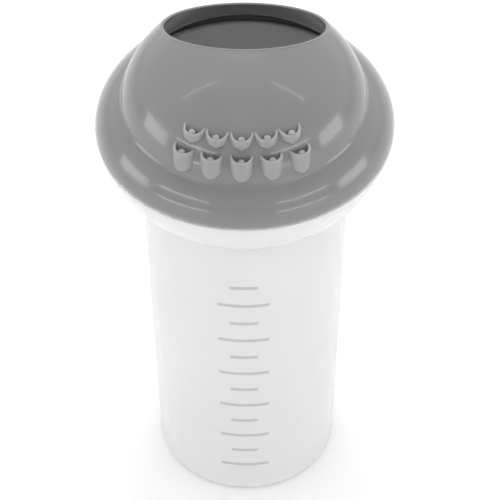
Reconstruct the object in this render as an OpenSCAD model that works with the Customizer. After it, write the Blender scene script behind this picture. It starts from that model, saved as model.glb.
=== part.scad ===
// Bath rinse cup: a tall cup, a domed lid with a pour opening and rows of spout nozzles, and their seal.
// The origin is the centre of the base, +Z is up, and the nozzles face -Y.

/* [Cup body] */
// Radius of the body at its base
base_r = 34.7; // [30:0.1:35.5]
// Radius of the body at the foot of the bowl
body_r = 35.7; // [30:0.1:38]
// Height from the base to the foot of the bowl
body_h = 137.9; // [80:0.1:180]
// Thickness of the cup's wall
wall = 2.0; // [1.6:0.1:2.4]
// Thickness of the floor
floor_t = 2.6; // [2:0.1:4]
// Radius of the rounding at the base
base_round = 3.0; // [1:0.5:5]
// Depth of the recess under the floor
foot_h = 1.2; // [0.6:0.1:1.6]
// Width of the ring that the cup stands on
foot_w = 3.0; // [2:0.5:6]

/* [Bowl and neck] */
// Height of the bowl, from the top of the body to its rim
bowl_h = 19.1; // [15:0.1:30]
// Radius of the neck that the lid pushes over
neck_r = 44.6; // [44:0.1:44.8]
// How far the neck stands above the bowl's rim
neck_h = 10.9; // [7:0.1:11.1]

/* [Seal] */
// Thickness of the seal
seal_t = 1.8; // [1.4:0.1:2.2]
// Width of the seal's flat ring
seal_w = 3.0; // [2:0.1:3.1]
// Gap between the neck and what fits round it
fit_gap = 0.3; // [0.2:0.05:0.4]

/* [Lid skirt] */
// Radius of the skirt's edge
lid_r = 50.0; // [49.5:0.1:54]
// Height of the skirt's widest line above its underside
lip_h = 2.3; // [2:0.1:3]
// Height of the cap that the skirt is part of, above its widest line
cap_h = 27.5; // [25:0.5:30]
// Thickness of the lid
lid_t = 1.8; // [1.5:0.1:2.1]

/* [Dome] */
// Radius of the dome
dome_r = 40.6; // [40:0.1:41]
// Height of the dome above its widest line
dome_h = 32.6; // [31:0.1:36]
// How far the dome's axis lies in front of the cup's
dome_forward = 4.2; // [2:0.1:4.4]
// Slope of the pour opening
opening_tilt = 20.7; // [12:0.1:24]
// How far the opening's front edge lies in front of the dome's axis
opening_front = 11.5; // [6:0.5:14]

/* [Nozzles] */
// Number of nozzles in each row
nozzle_count = 5; // [3:2:5]
// Outer radius of a nozzle's half-tube
nozzle_r = 3.7; // [3.4:0.1:3.8]
// Thickness of a nozzle's wall
nozzle_wall = 0.9; // [0.7:0.1:1.1]
// Slope of the cut across a nozzle's top
nozzle_slope = 33; // [25:1:38]
// Radius of the pin in each nozzle
pin_r = 1.2; // [1:0.05:1.3]
// Angle between neighbours in the upper row
upper_pitch = 12.7; // [12.4:0.1:15]
// Angle between neighbours in the lower row
lower_pitch = 14.2; // [13:0.1:16]

/* [Hidden] */
// Facets of the turned shapes and of the small round ones
turned_fn = 120;
small_fn = 24;
// Steps in a long curve and in a short rounding
long_steps = 10;
short_steps = 5;
// Small overlap that lets a cut pass right through a face
eps = 0.05;
// Levels: the bowl's rim, the seal's top, the lid's underside, its widest line and the neck's top
rim_z = body_h + bowl_h;
seal_top_z = rim_z + seal_t;
lid_z = rim_z + fit_gap;
lip_z = lid_z + lip_h;
neck_z = rim_z + neck_h;
// The bowl is part of an ellipse, between these angles below the level of its centre
bowl_start = -85;
bowl_end = -22;
bowl_r = lid_r - 0.5;
bowl_a = (bowl_r - body_r) / (cos(bowl_end) - cos(bowl_start));
bowl_b = bowl_h / (sin(bowl_end) - sin(bowl_start));
bowl_x = body_r - bowl_a * cos(bowl_start);
bowl_z = body_h - bowl_b * sin(bowl_start);
// Inside the bowl, and the shoulder that leads from it in to the neck
bowl_inner_end = -39;
shoulder_drop = 2.2;
rim_round = 0.5;
inner_round = 3;
neck_round = 0.6;
// Inside the lid: the bore over the neck, the lip outside the seal, and where the bore ends
bore_r = neck_r + fit_gap;
recess_r = bore_r + seal_w + 0.3;
lip_edge = 1.2;
cap_in_r = lid_r - lid_t;
cap_in_h = cap_h - lid_t;
bore_end = acos(bore_r / cap_in_r);
// The dome's widest line, and its level at the front edge of the opening
dome_z = lip_z + 11.4;
dome_foot = 4;
dome_in_r = dome_r - lid_t;
opening_z = dome_z + dome_h * sqrt(1 - pow(opening_front / dome_r, 2));
// Nozzle rows: distance from the dome's axis to a tube's centre, and levels above the dome's widest line
upper_rho = dome_r - 3.3 - nozzle_r;
upper_rim = dome_z + 15.4;
upper_floor = dome_z + 13.6;
upper_foot = dome_z + 10;
upper_pin = dome_z + 16.2;
lower_rho = dome_r + 0.05 - nozzle_r;
lower_rim = dome_z + 9.6;
lower_floor = dome_z + 5.4;
lower_foot = dome_z + 2.2;
lower_pin = dome_z + 9.7;
// Places within a nozzle, measured outwards from its tube's centre
slot_back = 0.1;
pin_offset = nozzle_r - nozzle_wall - pin_r + 0.1;
pin_sink = 0.8;
web_front = 0.6;
web_w = 2.4;
web_back = 3;

// Points along an ellipse's arc, from angle a0 to a1
function arc(cx, cy, rx, ry, a0, a1, steps) =
    [for (i = [0:steps]) let (a = a0 + (a1 - a0) * i / steps) [cx + rx * cos(a), cy + ry * sin(a)]];

// Outline of the cup's section: up the outside, over the rim and the neck, and down the inside
function cup_outline() =
    concat(
        [[0, foot_h], [base_r - base_round - foot_w, foot_h], [base_r - base_round - foot_w + foot_h, 0]],
        arc(base_r - base_round, base_round, base_round, base_round, -90, 0, short_steps),
        arc(bowl_x, bowl_z, bowl_a, bowl_b, bowl_start, bowl_end - 1, long_steps),
        arc(bowl_r - rim_round, rim_z - rim_round, rim_round, rim_round, 0, 90, 3),
        [[neck_r, rim_z]],
        arc(neck_r - neck_round, neck_z - neck_round, neck_round, neck_round, 0, 90, short_steps),
        arc(neck_r - wall + neck_round, neck_z - neck_round, neck_round, neck_round, 90, 180, short_steps),
        [[neck_r - wall, rim_z - shoulder_drop]],
        arc(bowl_x, bowl_z, bowl_a - wall * 1.1, bowl_b - wall * 1.1, bowl_inner_end, -88, long_steps),
        [[body_r - wall, body_h]],
        arc(base_r - wall - inner_round, foot_h + floor_t + inner_round, inner_round, inner_round,
            0, -90, short_steps),
        [[0, foot_h + floor_t]]
    );

// Outline of the cap's outside, from the lip's underside over the skirt to the axis
function cap_outline() =
    concat(
        [[0, lid_z]],
        arc(lid_r - lip_edge, lip_z, lip_edge, lip_h, -90, 0, short_steps),
        arc(0, lip_z, lid_r, cap_h, 0, 90, long_steps * 2)
    );

// Outline of the space inside the cap: the recess for the seal, the bore over the neck and the cap's hollow
function cap_space_outline() =
    concat(
        [[0, lid_z - eps], [recess_r, lid_z - eps], [recess_r, seal_top_z], [bore_r, seal_top_z]],
        arc(0, lip_z, cap_in_r, cap_in_h, bore_end, 90, long_steps * 2)
    );

// Outline of a dome with a short upright foot
function dome_outline(r, h) =
    concat([[0, dome_z - dome_foot], [r, dome_z - dome_foot]], arc(0, dome_z, r, h, 0, 90, long_steps * 2));

module cup() {
    color("whitesmoke")
        rotate_extrude($fn = turned_fn)
            polygon(cup_outline());
}

module lid_seal() {
    color("gainsboro")
        translate([0, 0, rim_z])
            difference() {
                cylinder(h = seal_t, r = bore_r + seal_w, $fn = turned_fn);
                translate([0, 0, -eps])
                    cylinder(h = seal_t + 2 * eps, r = bore_r, $fn = turned_fn);
            }
}

// Places its children on the dome's axis
module at_dome() {
    translate([0, -dome_forward, 0])
        children();
}

// The hollow of the cap and the dome together
module lid_space() {
    rotate_extrude($fn = turned_fn)
        polygon(cap_space_outline());
    at_dome()
        rotate_extrude($fn = turned_fn)
            polygon(dome_outline(dome_in_r, dome_h - lid_t));
}

// Everything above the sloping plane of the pour opening
module opening_cut() {
    translate([0, -opening_front, opening_z])
        rotate([-opening_tilt, 0, 0])
            translate([-lid_r, -eps, 0])
                cube([2 * lid_r, 2 * lid_r, 2 * dome_h]);
}

// Places its children at a row of angles about the dome's axis, with +X pointing away from the axis
module row(count, rho, pitch) {
    for (i = [0:count - 1])
        rotate([0, 0, -90 + (i - (count - 1) / 2) * pitch])
            translate([rho, 0, 0])
                children();
}

// Everything above a nozzle's sloping top, where rim is the level of its front edge
module above_nozzle(rim) {
    translate([nozzle_r, 0, rim])
        rotate([0, nozzle_slope, 0])
            translate([-4 * nozzle_r, -2 * nozzle_r, 0])
                cube([6 * nozzle_r, 4 * nozzle_r, 4 * nozzle_r]);
}

// A row of half-tubes with sloping tops, and the webs that join each to the next
module nozzle_row(rho, pitch, foot, rim) {
    tall = 3 * nozzle_r;
    row(nozzle_count, rho, pitch)
        difference() {
            translate([0, 0, foot])
                cylinder(h = rim - foot + tall, r = nozzle_r, $fn = small_fn);
            above_nozzle(rim);
        }
    row(nozzle_count - 1, rho, pitch)
        difference() {
            translate([-web_back, -web_w / 2, foot])
                cube([web_back + web_front, web_w, rim - foot + tall]);
            above_nozzle(rim);
        }
}

// The half-round slot down a nozzle, which opens into the dome behind its floor
module nozzle_slot(floor_z) {
    slot_r = nozzle_r - nozzle_wall;
    intersection() {
        translate([0, 0, floor_z])
            cylinder(h = dome_h, r = slot_r, $fn = small_fn);
        translate([-slot_back, -slot_r, floor_z])
            cube([slot_back + slot_r, 2 * slot_r, dome_h]);
    }
}

// The round-topped pin that breaks up the jet, with the rib that holds it to the tube's front wall
module nozzle_pin(floor_z, top) {
    translate([pin_offset, 0, floor_z - pin_sink])
        cylinder(h = top - pin_r - floor_z + pin_sink, r = pin_r, $fn = small_fn);
    translate([pin_offset, 0, top - pin_r])
        sphere(r = pin_r, $fn = small_fn);
    translate([pin_offset, -pin_r / 2, floor_z - pin_sink])
        cube([nozzle_r - nozzle_wall / 2 - pin_offset, pin_r, top - 2 * pin_r - floor_z + pin_sink]);
}

// The cap and the dome, before their hollow is taken out
module lid_mass() {
    rotate_extrude($fn = turned_fn)
        polygon(cap_outline());
    at_dome()
        rotate_extrude($fn = turned_fn)
            polygon(dome_outline(dome_r, dome_h));
    at_dome() {
        nozzle_row(upper_rho, upper_pitch, upper_foot, upper_rim);
        nozzle_row(lower_rho, lower_pitch, lower_foot, lower_rim);
    }
}

module lid() {
    color("darkgray") {
        difference() {
            lid_mass();
            lid_space();
            at_dome() {
                opening_cut();
                row(nozzle_count, upper_rho, upper_pitch)
                    nozzle_slot(upper_floor);
                row(nozzle_count, lower_rho, lower_pitch)
                    nozzle_slot(lower_floor);
            }
        }
        at_dome() {
            row(nozzle_count, upper_rho, upper_pitch)
                nozzle_pin(upper_floor, upper_pin);
            row(nozzle_count, lower_rho, lower_pitch)
                nozzle_pin(lower_floor, lower_pin);
        }
    }
}

cup();
lid();
lid_seal();
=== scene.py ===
"""Bath rinse cup: a smooth white cup, a grey domed lid with rows of spout nozzles, and their seal."""

import logging
import math
from dataclasses import dataclass, field
from enum import Enum

import bpy
import numpy as np
from mathutils import Matrix, Vector


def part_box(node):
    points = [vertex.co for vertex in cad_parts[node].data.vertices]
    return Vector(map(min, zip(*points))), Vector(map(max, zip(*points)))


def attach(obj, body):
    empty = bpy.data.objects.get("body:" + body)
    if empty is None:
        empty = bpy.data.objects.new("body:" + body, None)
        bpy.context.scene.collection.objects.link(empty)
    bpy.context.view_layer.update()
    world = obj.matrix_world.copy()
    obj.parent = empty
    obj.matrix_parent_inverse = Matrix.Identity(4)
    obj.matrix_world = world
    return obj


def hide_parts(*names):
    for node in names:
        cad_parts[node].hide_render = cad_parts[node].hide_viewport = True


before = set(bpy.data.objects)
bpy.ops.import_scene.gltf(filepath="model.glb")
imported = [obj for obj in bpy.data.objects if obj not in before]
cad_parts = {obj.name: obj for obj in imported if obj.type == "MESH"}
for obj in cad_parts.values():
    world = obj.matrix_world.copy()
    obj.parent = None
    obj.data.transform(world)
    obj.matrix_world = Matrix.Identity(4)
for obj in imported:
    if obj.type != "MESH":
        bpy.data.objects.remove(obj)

LOG = logging.getLogger("rinse_cup")
MM = 0.001
MERGE = 0.001 * MM
HALVINGS = 40
Point = tuple[float, float]


class Operation(Enum):
    """The boolean operation that the pieces use."""

    CUT = "DIFFERENCE"


class Body(Enum):
    """The bodies that the pieces ride on."""

    CUP = "cup"
    SEAL = "seal"
    LID = "lid"


# ---------------------------------------------------------------- shaping tools


def deselect_all() -> None:
    """Leaves object mode if needed and clears the selection."""
    if bpy.context.mode != "OBJECT":
        bpy.ops.object.mode_set(mode="OBJECT")
    bpy.ops.object.select_all(action="DESELECT")


def make_active(piece: bpy.types.Object) -> None:
    """Selects one piece alone and makes it active."""
    deselect_all()
    piece.select_set(True)
    bpy.context.view_layer.objects.active = piece


def finish_edit(piece: bpy.types.Object) -> None:
    """Merges doubled vertices, turns the faces outwards and leaves edit mode.

    Args:
        piece: The piece being edited.
    """
    make_active(piece)
    bpy.ops.object.mode_set(mode="EDIT")
    bpy.ops.mesh.select_all(action="SELECT")
    bpy.ops.mesh.remove_doubles(threshold=MERGE)
    bpy.ops.mesh.normals_make_consistent(inside=False)
    bpy.ops.object.mode_set(mode="OBJECT")


def settle(piece: bpy.types.Object) -> None:
    """Puts a piece's place, turn and scale into its mesh."""
    make_active(piece)
    bpy.ops.object.transform_apply(location=True, rotation=True, scale=True)


def apply_modifier(piece: bpy.types.Object, modifier: bpy.types.Modifier) -> None:
    """Applies one modifier to a piece.

    Args:
        piece: The piece.
        modifier: The modifier, which is on the piece.
    """
    make_active(piece)
    bpy.ops.object.modifier_apply(modifier=modifier.name)


def combine(piece: bpy.types.Object, tool: bpy.types.Object, operation: Operation) -> None:
    """Combines a piece with a tool body, which is used up.

    Args:
        piece: The piece that is changed.
        tool: The closed body to cut with.
        operation: What is done with the tool.
    """
    boolean = piece.modifiers.new("combine", "BOOLEAN")
    boolean.operation = operation.value
    boolean.solver = "EXACT"
    boolean.object = tool
    apply_modifier(piece, boolean)
    bpy.data.objects.remove(tool)


def join(pieces: list[bpy.types.Object], name: str) -> bpy.types.Object:
    """Joins pieces into one object.

    Args:
        pieces: The pieces, of which the first gives its place to the result.
        name: The new name.

    Returns:
        The joined object.
    """
    deselect_all()
    for piece in pieces:
        piece.select_set(True)
    bpy.context.view_layer.objects.active = pieces[0]
    bpy.ops.object.join()
    pieces[0].name = name
    return pieces[0]


def shade(piece: bpy.types.Object, angle: float = 40) -> None:
    """Shades a piece smooth apart from its sharp edges.

    Args:
        piece: The piece.
        angle: Edges that turn by more than this many degrees stay sharp.
    """
    make_active(piece)
    bpy.ops.object.shade_smooth_by_angle(angle=math.radians(angle))


def arc(centre: Point, radii: Point, start: float, end: float, steps: int) -> list[Point]:
    """Points along part of an ellipse.

    Args:
        centre: Centre of the ellipse.
        radii: Its semi-axes.
        start: First angle in degrees.
        end: Last angle in degrees.
        steps: Number of steps between them.

    Returns:
        The points, both ends included.
    """
    angles = [math.radians(start + (end - start) * i / steps) for i in range(steps + 1)]
    return [(centre[0] + radii[0] * math.cos(a), centre[1] + radii[1] * math.sin(a)) for a in angles]


def turned(name: str, outline: list[Point], steps: int, forward: float = 0.0) -> bpy.types.Object:
    """Turns an outline about an upright axis, extruding it point by point and then spinning it.

    Args:
        name: The piece's name.
        outline: Distances from the axis and heights, in metres.
        steps: Steps round the whole turn.
        forward: How far the axis lies in front of the cup's.

    Returns:
        The turned piece.
    """
    deselect_all()
    bpy.ops.mesh.primitive_plane_add(size=MM)
    piece = bpy.context.object
    piece.name = name
    bpy.ops.object.mode_set(mode="EDIT")
    bpy.ops.mesh.select_all(action="SELECT")
    bpy.ops.mesh.merge(type="CENTER")
    here = Vector((0, 0, 0))
    for index, (radius, height) in enumerate(outline):
        there = Vector((radius, -forward, height))
        if index == 0:
            bpy.ops.transform.translate(value=there - here)
        else:
            bpy.ops.mesh.extrude_region_move(TRANSFORM_OT_translate={"value": there - here})
        here = there
    bpy.ops.mesh.select_all(action="SELECT")
    bpy.ops.mesh.spin(steps=steps, angle=2 * math.pi, center=(0, -forward, 0), axis=(0, 0, 1))
    finish_edit(piece)
    return piece


def wrapped(name: str, rings: np.ndarray) -> bpy.types.Object:
    """Wraps a grid onto rows of points, merges where they meet and fills any open end.

    Args:
        name: The piece's name.
        rings: Places by row and by step along the row.

    Returns:
        The closed piece.
    """
    deselect_all()
    bpy.ops.mesh.primitive_grid_add(x_subdivisions=rings.shape[1] - 1, y_subdivisions=rings.shape[0] - 1)
    piece = bpy.context.object
    piece.name = name
    piece.data.vertices.foreach_set("co", rings.astype(np.float32).ravel())
    piece.data.update()
    make_active(piece)
    bpy.ops.object.mode_set(mode="EDIT")
    bpy.ops.mesh.select_all(action="SELECT")
    bpy.ops.mesh.remove_doubles(threshold=MERGE)
    bpy.ops.mesh.fill_holes(sides=0)
    finish_edit(piece)
    return piece


# ---------------------------------------------------------------- finishes


@dataclass(frozen=True)
class Finish:
    """A moulded plastic or rubber, with the faint unevenness of a real moulding."""

    name: str
    colour: tuple[float, float, float]
    tone_change: float
    roughness: float
    rough_change: float
    bump: float
    coat: float
    scatter: float = 0.0
    scuff: float = 0.0
    see_through: float = 0.0
    tone_noise: float = 28
    gloss_noise: float = 55
    scratch_noise: float = 900
    scratch_stretch: float = 0.06
    ripple_noise: float = 60
    ripple_depth: float = 0.12 * MM
    grain_noise: float = 2400
    grain_depth: float = 0.006 * MM

    def start(self) -> tuple[bpy.types.Material, bpy.types.Node]:
        """Makes the material and sets what is the same all over it.

        Returns:
            The material and its main shader.
        """
        material = bpy.data.materials.new(self.name)
        material.use_nodes = True
        shader = material.node_tree.nodes["Principled BSDF"]
        shader.inputs["IOR"].default_value = 1.49
        shader.inputs["Coat Weight"].default_value = self.coat
        shader.inputs["Coat Roughness"].default_value = 0.05
        shader.inputs["Subsurface Weight"].default_value = self.scatter
        shader.inputs["Subsurface Radius"].default_value = (1.0, 0.95, 0.9)
        shader.inputs["Subsurface Scale"].default_value = 6 * MM
        shader.inputs["Transmission Weight"].default_value = self.see_through
        return material, shader

    def make(self) -> bpy.types.Material:
        """Builds the nodes: cloudy tone, uneven gloss, flow ripple, fine grain and handling scuffs.

        Returns:
            The finished material.
        """
        material, shader = self.start()
        nodes = material.node_tree.nodes
        link = material.node_tree.links.new
        place = nodes.new("ShaderNodeTexCoord").outputs["Object"]

        def noise(scale: float, detail: float) -> bpy.types.NodeSocket:
            """A noise of the given scale per metre."""
            texture = nodes.new("ShaderNodeTexNoise")
            texture.inputs["Scale"].default_value = scale
            texture.inputs["Detail"].default_value = detail
            link(place, texture.inputs["Vector"])
            return texture.outputs["Fac"]

        def spread(value: bpy.types.NodeSocket, low: float, high: float) -> bpy.types.NodeSocket:
            """Maps a noise onto a range."""
            ramp = nodes.new("ShaderNodeMapRange")
            ramp.inputs["From Min"].default_value = 0.3
            ramp.inputs["From Max"].default_value = 0.7
            ramp.inputs["To Min"].default_value = low
            ramp.inputs["To Max"].default_value = high
            link(value, ramp.inputs["Value"])
            return ramp.outputs["Result"]

        tone = nodes.new("ShaderNodeMix")
        tone.data_type = "RGBA"
        tone.inputs["A"].default_value = (*[c * (1 - self.tone_change) for c in self.colour], 1)
        tone.inputs["B"].default_value = (*[min(1, c * (1 + self.tone_change)) for c in self.colour], 1)
        link(spread(noise(self.tone_noise, 3), 0, 1), tone.inputs["Factor"])
        colour = self.mark(material, tone.outputs["Result"])
        link(colour, shader.inputs["Base Color"])

        gloss = nodes.new("ShaderNodeMath")
        gloss.operation = "ADD"
        shine = spread(noise(self.gloss_noise, 4), self.roughness - self.rough_change,
                       self.roughness + self.rough_change)
        link(shine, gloss.inputs[0])
        scratches = nodes.new("ShaderNodeTexNoise")
        scratches.inputs["Scale"].default_value = self.scratch_noise
        scratches.inputs["Detail"].default_value = 2
        stretch = nodes.new("ShaderNodeMapping")
        stretch.inputs["Scale"].default_value = (1, 1, self.scratch_stretch)
        link(place, stretch.inputs["Vector"])
        link(stretch.outputs["Vector"], scratches.inputs["Vector"])
        worn = nodes.new("ShaderNodeMapRange")
        worn.inputs["From Min"].default_value = 0.62
        worn.inputs["From Max"].default_value = 0.72
        worn.inputs["To Max"].default_value = self.scuff
        link(scratches.outputs["Fac"], worn.inputs["Value"])
        link(worn.outputs["Result"], gloss.inputs[1])
        link(gloss.outputs["Value"], shader.inputs["Roughness"])

        ripple = nodes.new("ShaderNodeBump")
        ripple.inputs["Strength"].default_value = self.bump
        ripple.inputs["Distance"].default_value = self.ripple_depth
        link(noise(self.ripple_noise, 2), ripple.inputs["Height"])
        grain = nodes.new("ShaderNodeBump")
        grain.inputs["Strength"].default_value = self.bump
        grain.inputs["Distance"].default_value = self.grain_depth
        link(noise(self.grain_noise, 3), grain.inputs["Height"])
        link(ripple.outputs["Normal"], grain.inputs["Normal"])
        link(grain.outputs["Normal"], shader.inputs["Normal"])
        return material

    def mark(self, material: bpy.types.Material, colour: bpy.types.NodeSocket) -> bpy.types.NodeSocket:
        """Prints nothing: a plain finish leaves its colour as it is.

        Args:
            material: The material being built.
            colour: The plain colour.

        Returns:
            The same colour.
        """
        return colour


@dataclass(frozen=True)
class PrintedFinish(Finish):
    """A finish with a scale of plain fill lines printed up its front."""

    ink: tuple[float, float, float] = (0.5, 0.49, 0.495)
    low: float = 16 * MM
    high: float = 124 * MM
    step: float = 9 * MM
    line: float = 1.5 * MM
    long_half: float = 9 * MM
    short_half: float = 5 * MM
    front: float = -20 * MM

    def mark(self, material: bpy.types.Material, colour: bpy.types.NodeSocket) -> bpy.types.NodeSocket:
        """Prints the fill lines over the colour.

        Args:
            material: The material being built.
            colour: The plain colour.

        Returns:
            The colour with its print.
        """
        nodes = material.node_tree.nodes
        link = material.node_tree.links.new
        split = nodes.new("ShaderNodeSeparateXYZ")
        link(nodes.new("ShaderNodeTexCoord").outputs["Object"], split.inputs["Vector"])

        def sum_of(operation: str, first: object, second: object) -> bpy.types.NodeSocket:
            """One arithmetic step on two sockets or numbers."""
            step = nodes.new("ShaderNodeMath")
            step.operation = operation
            for socket, value in zip(step.inputs, (first, second)):
                if isinstance(value, bpy.types.NodeSocket):
                    link(value, socket)
                else:
                    socket.default_value = value
            return step.outputs["Value"]

        side, depth, height = split.outputs
        up = sum_of("SUBTRACT", height, self.low)
        in_line = sum_of("LESS_THAN", sum_of("MODULO", up, self.step), self.line)
        every_second = sum_of("LESS_THAN", sum_of("MODULO", up, 2 * self.step), self.step)
        half = sum_of("MULTIPLY_ADD", every_second, self.long_half - self.short_half)
        half.node.inputs[2].default_value = self.short_half
        near_middle = sum_of("LESS_THAN", sum_of("ABSOLUTE", side, 0.0), half)
        above = sum_of("GREATER_THAN", height, self.low)
        below = sum_of("LESS_THAN", height, self.high)
        in_front = sum_of("LESS_THAN", depth, self.front)
        printed = in_line
        for test in (near_middle, above, below, in_front):
            printed = sum_of("MULTIPLY", printed, test)
        mix = nodes.new("ShaderNodeMix")
        mix.data_type = "RGBA"
        link(printed, mix.inputs["Factor"])
        link(colour, mix.inputs["A"])
        mix.inputs["B"].default_value = (*self.ink, 1)
        return mix.outputs["Result"]


WHITE_PLASTIC = PrintedFinish("cup_white_plastic", (0.71, 0.70, 0.705), 0.012, 0.24, 0.03, 0.25, 0.1,
                              scatter=1.0)
GREY_PLASTIC = Finish("lid_grey_plastic", (0.19, 0.19, 0.193), 0.03, 0.20, 0.03, 0.3, 0.35, scuff=0.01)
# The nozzles are the lid's grey plastic in a rougher matte finish. Their colour is painted lighter than the
# lid's, as painted light standing in for the extra light on their upright front faces.
NOZZLE_PLASTIC_PAINTED_LIGHTER = Finish("lid_nozzle_plastic_painted_lighter", (0.30, 0.30, 0.302), 0.03, 0.42, 0.05, 0.3, 0.0, scatter=0.2)
CLEAR_RUBBER = Finish("seal_clear_rubber", (0.55, 0.56, 0.56), 0.03, 0.45, 0.06, 0.3, 0.0,
                      scatter=0.3, see_through=0.25)


def dress(piece: bpy.types.Object, finish: Finish) -> None:
    """Gives a piece one finish.

    Args:
        piece: The piece.
        finish: Its finish.
    """
    piece.data.materials.clear()
    piece.data.materials.append(finish.make())


# ---------------------------------------------------------------- pieces


@dataclass
class Cup:
    """The cup: a tall body that opens into a bowl-shaped rim, with a neck that the lid pushes over."""

    rim_z: float
    neck_z: float
    base_r: float = 34.7 * MM
    body_r: float = 35.7 * MM
    body_h: float = 137.9 * MM
    bowl_r: float = 49.5 * MM
    neck_r: float = 44.6 * MM
    wall: float = 2.0 * MM
    bowl_wall: float = 2.2 * MM
    floor_t: float = 2.6 * MM
    foot_h: float = 1.2 * MM
    foot_w: float = 3.0 * MM
    base_round: float = 3.0 * MM
    rim_round: float = 0.6 * MM
    bowl_start: float = -85
    bowl_end: float = -22
    hollow_start: float = -39
    hollow_end: float = -88
    neck_foot: float = 1.8 * MM
    side_steps: int = 12
    turn_steps: int = 192

    def outline(self) -> list[Point]:
        """The cup's section, up the outside, over the rim and neck, and down the inside.

        Returns:
            Distances from the axis and heights.
        """
        first, last = math.radians(self.bowl_start), math.radians(self.bowl_end)
        across = (self.bowl_r - self.body_r) / (math.cos(last) - math.cos(first))
        tall = (self.rim_z - self.body_h) / (math.sin(last) - math.sin(first))
        centre = (self.body_r - across * math.cos(first), self.body_h - tall * math.sin(first))
        inner = (across - self.bowl_wall, tall - self.bowl_wall)
        base, rim, top = self.base_round, self.rim_round, self.neck_z - self.rim_round
        foot = self.base_r - base - self.foot_w
        floor = self.foot_h + self.floor_t
        shares = [i / self.side_steps for i in range(1, self.side_steps)]
        side = [(self.base_r + (self.body_r - self.base_r) * share, base + (self.body_h - base) * share)
                for share in shares]
        in_side = [(r - self.wall, z) for r, z in reversed(side)]
        return (
            [(0, self.foot_h), (foot, self.foot_h), (foot + self.foot_h, 0.15 * MM), (foot + 1.4 * MM, 0)]
            + arc((self.base_r - base, base), (base, base), -90, 0, 10)
            + side
            + arc(centre, (across, tall), self.bowl_start, self.bowl_end - 1.2, 30)
            + arc((self.bowl_r - rim, self.rim_z - rim), (rim, rim), 0, 90, 6)
            + arc((self.neck_r + rim, self.rim_z + rim), (rim, rim), 270, 180, 5)
            + arc((self.neck_r - rim, top), (rim, rim), 0, 90, 6)
            + arc((self.neck_r - self.wall + rim, top), (rim, rim), 90, 180, 6)
            + arc((self.neck_r - self.wall + rim, self.rim_z - self.neck_foot), (rim, rim), 180, 230, 4)
            + arc(centre, inner, self.hollow_start, self.hollow_end, 24)
            + in_side
            + arc((self.base_r - self.wall - base, floor + base), (base, base), 0, -90, 10)
            + [(0, floor)]
        )

    def build(self) -> bpy.types.Object:
        """Turns the cup and dresses it.

        Returns:
            The cup, riding on its body.
        """
        piece = turned("cup_body", self.outline(), self.turn_steps)
        shade(piece)
        dress(piece, WHITE_PLASTIC)
        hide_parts("cup")
        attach(piece, Body.CUP.value)
        return piece


@dataclass
class Seal:
    """The flat ring between the lid and the bowl's rim."""

    low: float
    high: float
    inner_r: float = 44.9 * MM
    outer_r: float = 47.9 * MM
    edge: float = 0.4 * MM
    turn_steps: int = 160

    def build(self) -> bpy.types.Object:
        """Turns the ring with rounded edges and dresses it.

        Returns:
            The seal, riding on its body.
        """
        corners = [(self.outer_r, self.low, -90, 0), (self.outer_r, self.high, 0, 90),
                   (self.inner_r, self.high, 90, 180), (self.inner_r, self.low, 180, 270)]
        outline: list[Point] = []
        for radius, height, start, end in corners:
            inwards = -self.edge if radius == self.outer_r else self.edge
            upwards = self.edge if height == self.low else -self.edge
            outline += arc((radius + inwards, height + upwards), (self.edge, self.edge), start, end, 4)
        piece = turned("lid_seal_ring", outline + outline[:1], self.turn_steps)
        shade(piece)
        dress(piece, CLEAR_RUBBER)
        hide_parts("lid_seal")
        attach(piece, Body.SEAL.value)
        return piece


@dataclass
class NozzleRow:
    """One row of nozzles round the dome's axis.

    Distances are from the dome's axis and angles are in degrees. The foot is the tubes' lower edge.
    """

    front_r: float
    pitch: float
    rim: float
    floor: float
    pin_top: float
    hole_top: float
    slope: float
    back_r: float
    foot: list[Point]
    count: int = 5


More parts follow.
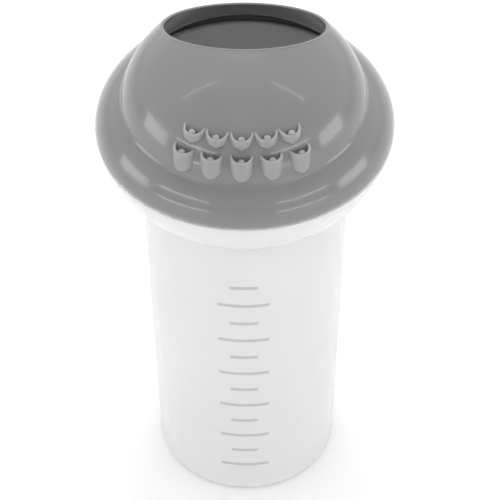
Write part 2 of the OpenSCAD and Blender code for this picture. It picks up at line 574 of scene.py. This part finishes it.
@dataclass
class Lid:
    """The lid: a cap-shaped skirt, and a dome on an axis in front of the cup's, with nozzles."""

    underside: float
    seal_top: float
    edge_r: float = 50.0 * MM
    thick: float = 1.8 * MM
    lip_h: float = 2.3 * MM
    lip_round: float = 1.2 * MM
    edge_break: float = 0.1 * MM
    cap_h: float = 27.5 * MM
    dome_up: float = 11.4 * MM
    dome_r: float = 40.6 * MM
    dome_h: float = 32.6 * MM
    forward: float = 4.2 * MM
    opening_tilt: float = 20.7
    opening_front: float = 11.5 * MM
    cove: float = 1.0 * MM
    rim_rise: float = 0.45 * MM
    rim_thick: float = 0.8 * MM
    bore_r: float = 44.9 * MM
    recess_r: float = 48.2 * MM
    tube_r: float = 3.7 * MM
    tube_wall: float = 0.9 * MM
    tube_least: float = 1.0 * MM
    pin_r: float = 1.25 * MM
    hole_r: float = 1.95 * MM
    hole_forward: float = 0.55 * MM
    pin_back: float = 1.7 * MM
    pin_sink: float = 0.8 * MM
    pin_flare: float = 1.04
    round_steps: int = 288
    outer_rings: int = 110
    inner_rings: int = 70
    rows: list[NozzleRow] = field(default_factory=list)

    def __post_init__(self) -> None:
        """Works out the levels, and the two rows of nozzles from the dome's widest line."""
        self.lip_z = self.underside + self.lip_h
        self.dome_z = self.lip_z + self.dome_up
        self.eye = np.array([0, -self.forward / 2, self.lip_z])
        up = self.dome_z
        self.rows = [
            NozzleRow(front_r=self.dome_r - 2.5 * MM, pitch=12.4, rim=up + 16.25 * MM, floor=up + 13.6 * MM,
                      pin_top=up + 17.15 * MM, hole_top=up + 26 * MM, slope=16, back_r=33.2 * MM,
                      foot=[(33.0 * MM, up + 17.3 * MM), (36.0 * MM, up + 14.7 * MM),
                            (38.1 * MM, up + 13.75 * MM)]),
            NozzleRow(front_r=self.dome_r + 1.25 * MM, pitch=13.75, rim=up + 10.87 * MM, floor=up + 5.4 * MM,
                      pin_top=up + 11.17 * MM, hole_top=up + 12.9 * MM, slope=7.5, back_r=36.8 * MM,
                      foot=[(36.0 * MM, up + 12.3 * MM), (38.5 * MM, up + 7.4 * MM),
                            (41.85 * MM, up + 3.7 * MM)]),
        ]

    def distance(self, points: np.ndarray, inset: np.ndarray) -> np.ndarray:
        """Roughly how far points lie outside the cap and dome together.

        Args:
            points: Places, with x, y and z last.
            inset: How far both surfaces are moved in at each point.

        Returns:
            Distances, negative inside.
        """
        cap = self.ellipsoid(points - [0, 0, self.lip_z], self.edge_r - inset, self.cap_h - inset)
        dome = self.ellipsoid(points - [0, -self.forward, self.dome_z], self.dome_r - inset,
                              self.dome_h - inset)
        overlap = np.maximum(self.cove - np.abs(cap - dome), 0) / self.cove
        return np.minimum(cap, dome) - overlap**2 * self.cove / 4

    @staticmethod
    def ellipsoid(points: np.ndarray, radius: np.ndarray, height: np.ndarray) -> np.ndarray:
        """Roughly how far points lie outside an upright ellipsoid about the origin.

        Args:
            points: Places, with x, y and z last.
            radius: Its radius.
            height: Its height above its widest line.

        Returns:
            Distances, negative inside.
        """
        semi = np.stack([radius, radius, height], -1)
        near = np.linalg.norm(points / semi, axis=-1)
        steep = np.linalg.norm(points / semi**2, axis=-1)
        return near * (near - 1) / np.maximum(steep, 1e-9)

    def plane_z(self, depth: np.ndarray, lower: float) -> np.ndarray:
        """Height of the pour opening's sloping plane.

        Args:
            depth: Places along Y.
            lower: How far the plane is lowered.

        Returns:
            The heights.
        """
        share = self.opening_front / self.dome_r
        front_z = self.dome_z + self.dome_h * math.sqrt(1 - share**2)
        fall = math.tan(math.radians(self.opening_tilt))
        return front_z - lower - fall * (depth + self.forward + self.opening_front)

    def reach(self, rise: np.ndarray, turn: np.ndarray, inset: np.ndarray) -> np.ndarray:
        """Surface points seen from inside the lid in the given directions, found by halving.

        Args:
            rise: Angles above the level, in radians.
            turn: Angles round the axis, in radians.
            inset: How far the surface is moved in along each.

        Returns:
            The points.
        """
        aim = np.stack([np.cos(rise) * np.cos(turn), np.cos(rise) * np.sin(turn), np.sin(rise)], -1)
        near, far = np.full(rise.shape, 10 * MM), np.full(rise.shape, 70 * MM)
        for _ in range(HALVINGS):
            middle = (near + far) / 2
            outside = self.distance(self.eye + aim * middle[..., None], inset) > 0
            far = np.where(outside, middle, far)
            near = np.where(outside, near, middle)
        return self.eye + aim * near[..., None]

    def shell_rings(self) -> np.ndarray:
        """Rings of points over the shell: out and up to the opening, over its rim, and down the inside.

        Returns:
            Points by ring and by turn.
        """
        turn = np.linspace(0, 2 * math.pi, self.round_steps + 1)

        def side(inset: float, at_rim: float, count: int, first: np.ndarray) -> np.ndarray:
            """Rings up one side of the wall to the opening, where its inset has become at_rim."""
            low, high = first.copy(), np.full(turn.shape, math.radians(89))
            for _ in range(HALVINGS):
                middle = (low + high) / 2
                place = self.reach(middle, turn, np.full(turn.shape, at_rim))
                over = place[:, 2] > self.plane_z(place[:, 1], self.rim_rise)
                high = np.where(over, middle, high)
                low = np.where(over, low, middle)
            share = np.linspace(0, 1, count)[:, None]
            rise = first * (1 - share) + low * share
            insets = np.broadcast_to(inset + (at_rim - inset) * share**3, rise.shape)
            return self.reach(rise, np.broadcast_to(turn, rise.shape), insets)

        def ring(radius: float, height: float) -> np.ndarray:
            """A level ring about the cup's axis."""
            return np.stack([radius * np.cos(turn), radius * np.sin(turn), np.full(turn.shape, height)], -1)

        level = np.zeros(turn.shape)
        outer = side(0, 0, self.outer_rings, level)
        in_r, in_h = self.edge_r - self.thick, self.cap_h - self.thick
        bore_top = self.lip_z + in_h * math.sqrt(1 - (self.bore_r / in_r) ** 2)
        from_eye = ring(self.bore_r, bore_top) - self.eye
        start = np.arctan2(from_eye[:, 2], np.hypot(from_eye[:, 0], from_eye[:, 1]))
        inner = side(self.thick, self.rim_thick, self.inner_rings, start)
        centre, half = (outer[-1] + inner[-1]) / 2, (outer[-1] - inner[-1]) / 2
        tilt = math.radians(self.opening_tilt)
        up = np.array([0, math.sin(tilt), math.cos(tilt)])
        rim = [centre + half * math.cos(a) + up * self.rim_rise * math.sin(a)
               for a in np.linspace(0, math.pi, 11)[1:-1]]
        lip = arc((self.edge_r - self.lip_round, self.lip_z), (self.lip_round, self.lip_h), 0, -90, 10)[1:]
        slight = self.edge_break
        under = [(self.recess_r + slight, self.underside), (self.recess_r, self.underside + slight),
                 (self.recess_r, self.seal_top - slight), (self.recess_r - slight, self.seal_top),
                 (self.bore_r + 2 * slight, self.seal_top), (self.bore_r, self.seal_top + 2 * slight),
                 (self.bore_r, (self.seal_top + bore_top) / 2)]
        below = [ring(r, z) for r, z in lip + under]
        return np.stack(list(outer) + rim + list(inner[::-1]) + below[::-1] + [outer[0]])

    def shell(self) -> bpy.types.Object:
        """Wraps a grid round the rings and closes it both ways.

        Returns:
            The shell, closed and facing outwards.
        """
        return wrapped("lid_shell", self.shell_rings())

    def angles(self, row: NozzleRow) -> list[float]:
        """Angles of a row's nozzles, with the front at zero.

        Args:
            row: The row.

        Returns:
            The angles in radians.
        """
        return [math.radians((i - (row.count - 1) / 2) * row.pitch) for i in range(row.count)]

    def placed(self, piece: bpy.types.Object, angle: float) -> bpy.types.Object:
        """Turns a piece that was made in front of the dome's axis to its place along the row.

        Args:
            piece: The piece, made with -Y pointing away from the axis.
            angle: The turn in radians.

        Returns:
            The same piece, with its place in its mesh.
        """
        piece.data.transform(Matrix.Translation((0, -self.forward, 0)) @ Matrix.Rotation(angle, 4, "Z"))
        return piece

    def cylinder(self, name: str, ring: float, radius: float, low: float, high: float,
                 sides: int = 48) -> bpy.types.Object:
        """Adds an upright cylinder in front of the dome's axis.

        Args:
            name: The piece's name.
            ring: Distance of its axis from the dome's.
            radius: Its radius.
            low: Height of its foot.
            high: Height of its top.
            sides: Number of sides.

        Returns:
            The cylinder, with its place in its mesh.
        """
        deselect_all()
        bpy.ops.mesh.primitive_cylinder_add(vertices=sides, radius=radius, depth=high - low,
                                            location=(0, -ring, (low + high) / 2))
        piece = bpy.context.object
        piece.name = name
        settle(piece)
        return piece

    def tube(self, row: NozzleRow) -> bpy.types.Object:
        """One half-tube at the front of the dome: a wall with a rounded, sloping top, swept round an arc.

        Args:
            row: The row that it belongs to.

        Returns:
            The tube, closed, with its foot inside the dome's wall.
        """
        ring = row.front_r - self.tube_r
        half = self.tube_wall / 2
        lip = [(half * math.cos(a), half * math.sin(a)) for a in np.linspace(0, math.pi, 9)]
        turn = np.radians(np.linspace(-90, 90, 41))
        foot_rings, foot_heights = zip(*row.foot)
        rings = []
        for across, rise in [(half, None), *lip, (-half, None), (half, None)]:
            radius = self.tube_r - half + across
            out = np.concatenate([[row.back_r], ring + radius * np.cos(turn), [row.back_r]])
            side = np.concatenate([[-radius], radius * np.sin(turn), [radius]])
            level = row.rim - half + (row.front_r - out) * math.tan(math.radians(row.slope))
            foot = np.interp(out, foot_rings, foot_heights)
            height = np.minimum(foot, level - self.tube_least) if rise is None else level + rise
            rings.append(np.stack([side, -out, height], -1))
        return wrapped("tube", np.stack(rings))

    def pin(self, row: NozzleRow) -> bpy.types.Object:
        """The round-topped pin in a nozzle, turned about its own axis.

        Args:
            row: The row that it belongs to.

        Returns:
            The pin.
        """
        ring = row.front_r - self.pin_back
        low = row.floor - self.pin_sink
        outline = [(0, low), (self.pin_r * self.pin_flare, low)]
        outline += arc((0, row.pin_top - self.pin_r), (self.pin_r, self.pin_r), 0, 90, 8)
        return turned("pin", outline, 24, forward=ring)

    def copies(self, model: bpy.types.Object, angles: list[float]) -> list[bpy.types.Object]:
        """Copies a modelled piece along a row, each copy with its own mesh, and removes the model.

        Args:
            model: The piece, made in front of the dome's axis.
            angles: The turn of each copy in radians.

        Returns:
            The copies.
        """
        made = []
        for angle in angles:
            copy = model.copy()
            copy.data = model.data.copy()
            bpy.context.collection.objects.link(copy)
            made.append(self.placed(copy, angle))
        bpy.data.objects.remove(model)
        return made

    def build(self) -> bpy.types.Object:
        """Builds the shell, drills the jet holes, adds tubes and pins, and dresses the lid.

        Returns:
            The lid, riding on its body.
        """
        shell = self.shell()
        shell.data.materials.append(GREY_PLASTIC.make())
        # Tubes and pins get the grey plastic painted lighter: painted light for their lit front faces.
        nozzle_painted_lighter = NOZZLE_PLASTIC_PAINTED_LIGHTER.make()
        parts = [shell]
        for row in self.rows:
            angles = self.angles(row)
            ring = row.front_r - self.pin_back + self.hole_forward
            drill = self.cylinder("drill", ring, self.hole_r, row.floor, row.hole_top)
            combine(shell, join(self.copies(drill, angles), "drills"), Operation.CUT)
            for model in (self.tube(row), self.pin(row)):
                model.data.materials.append(nozzle_painted_lighter)
                parts += self.copies(model, angles)
        piece = join(parts, "lid_dome")
        shade(piece, 36)
        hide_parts("lid")
        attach(piece, Body.LID.value)
        return piece


# ---------------------------------------------------------------- studio


@dataclass
class Studio:
    """The pale floor, the soft lights and the camera."""

    above: float = 46.44
    turn: float = 1.43
    roll: float = -0.44
    lens: float = 115.92
    shift: Point = (0.008, 0.0659)
    horizon: float = 0.85
    zenith: float = 0.42
    stand: Vector = field(default_factory=lambda: Vector((0, -410.37 * MM, 512.72 * MM)))

    def camera(self) -> None:
        """Sets the camera in front of the nozzles, looking down on the lid."""
        deselect_all()
        bpy.ops.object.camera_add()
        camera = bpy.context.object
        round_it = Matrix.Rotation(math.radians(self.turn), 4, "Z")
        tilt = Matrix.Rotation(math.radians(90 - self.above), 4, "X")
        lean = Matrix.Rotation(math.radians(self.roll), 4, "Z")
        camera.matrix_world = round_it @ Matrix.Translation(self.stand) @ tilt @ lean
        camera.data.sensor_width = 36
        camera.data.lens = self.lens
        camera.data.shift_x, camera.data.shift_y = self.shift
        bpy.context.scene.camera = camera

    @staticmethod
    def seen_at(azimuth: float, elevation: float, away: float, middle: Vector) -> Vector:
        """A place seen from the lid in a given direction.

        Args:
            azimuth: Degrees round from the front, towards +X.
            elevation: Degrees above the level of the lid.
            away: How far away it is.
            middle: The place in the lid that it is seen from.

        Returns:
            The place.
        """
        round_it, up = math.radians(azimuth), math.radians(elevation)
        flat = away * math.cos(up)
        return middle + Vector((flat * math.sin(round_it), -flat * math.cos(round_it), away * math.sin(up)))

    def air(self) -> None:
        """Fills the room with white light that is brightest near the horizon."""
        world = bpy.data.worlds.new("studio_air")
        bpy.context.scene.world = world
        world.use_nodes = True
        nodes, link = world.node_tree.nodes, world.node_tree.links.new
        split = nodes.new("ShaderNodeSeparateXYZ")
        link(nodes.new("ShaderNodeTexCoord").outputs["Generated"], split.inputs["Vector"])
        fade = nodes.new("ShaderNodeMapRange")
        fade.inputs["From Min"].default_value = 0.1
        fade.inputs["From Max"].default_value = 0.9
        fade.inputs["To Min"].default_value = self.horizon
        fade.inputs["To Max"].default_value = self.zenith
        link(split.outputs["Z"], fade.inputs["Value"])
        link(fade.outputs["Result"], nodes["Background"].inputs["Strength"])
        nodes["Background"].inputs["Color"].default_value = (1, 1, 1, 1)

    def light(self, name: str, place: Vector, size: Point, power: float, aim: Vector,
              mirrored: bool = True) -> None:
        """Adds one soft light.

        Args:
            name: Its name.
            place: Where it stands.
            size: Its width and height.
            power: Its power in watts.
            aim: What it points at.
            mirrored: Whether glossy surfaces show it.
        """
        deselect_all()
        bpy.ops.object.light_add(type="AREA", location=place)
        light = bpy.context.object
        light.name = name
        light.data.shape = "RECTANGLE"
        light.data.size, light.data.size_y = size
        light.data.energy = power
        light.visible_glossy = mirrored
        light.rotation_euler = (aim - place).to_track_quat("-Z", "Y").to_euler()

    def floor(self) -> None:
        """Lays the plain pale floor."""
        deselect_all()
        bpy.ops.mesh.primitive_plane_add(size=12)
        floor = bpy.context.object
        floor.name = "studio_floor"
        material = bpy.data.materials.new("studio_white")
        material.use_nodes = True
        shader = material.node_tree.nodes["Principled BSDF"]
        shader.inputs["Base Color"].default_value = (0.97, 0.97, 0.97, 1)
        shader.inputs["Roughness"].default_value = 0.9
        shader.inputs["Specular IOR Level"].default_value = 0.1
        floor.data.materials.append(material)

    def build(self) -> None:
        """Builds the whole studio."""
        self.floor()
        middle = Vector((0, 0, 0.165))
        for side, name in ((-1, "left"), (1, "right")):
            self.light(f"softbox_{name}", self.seen_at(80 * side, -2, 0.9, middle), (0.42, 0.24), 0.9, middle)
            self.light(f"overhead_strip_{name}", self.seen_at(77 * side, 55, 0.9, middle), (0.02, 0.5), 0.14,
                       middle)
            self.light(f"low_strip_{name}", self.seen_at(40 * side, -11, 0.6, middle), (0.38, 0.012), 0.16,
                       middle)
            self.light(f"front_strip_{name}", self.seen_at(40 * side, 8, 0.6, middle), (0.38, 0.012), 0.16,
                       middle)
        self.light("top_fill", Vector((0, 0.2, 1.5)), (1.6, 1.6), 11, middle, mirrored=False)
        self.light("front_fill", self.seen_at(0, 50, 1.1, middle), (0.4, 0.4), 1.6, middle, mirrored=False)
        self.light("inside_fill", Vector((0, 0.15, 0.6)), (0.15, 0.15), 0.7, Vector((0, 0, 0.15)),
                   mirrored=False)
        self.air()
        bpy.context.scene.view_settings.view_transform = "Standard"
        self.camera()


def main() -> None:
    """Builds the studio and every piece in order."""
    logging.basicConfig(level=logging.INFO)
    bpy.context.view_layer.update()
    Studio().build()
    seal_low, seal_high = (corner.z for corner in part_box("lid_seal"))
    cup_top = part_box("cup")[1].z
    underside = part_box("lid")[0].z
    makers = (Cup(rim_z=seal_low, neck_z=cup_top), Seal(low=seal_low, high=seal_high),
              Lid(underside=underside, seal_top=seal_high))
    for maker in makers:
        piece = maker.build()
        LOG.info("%s: %d faces", piece.name, len(piece.data.polygons))
    deselect_all()


if __name__ == "__main__":
    main()
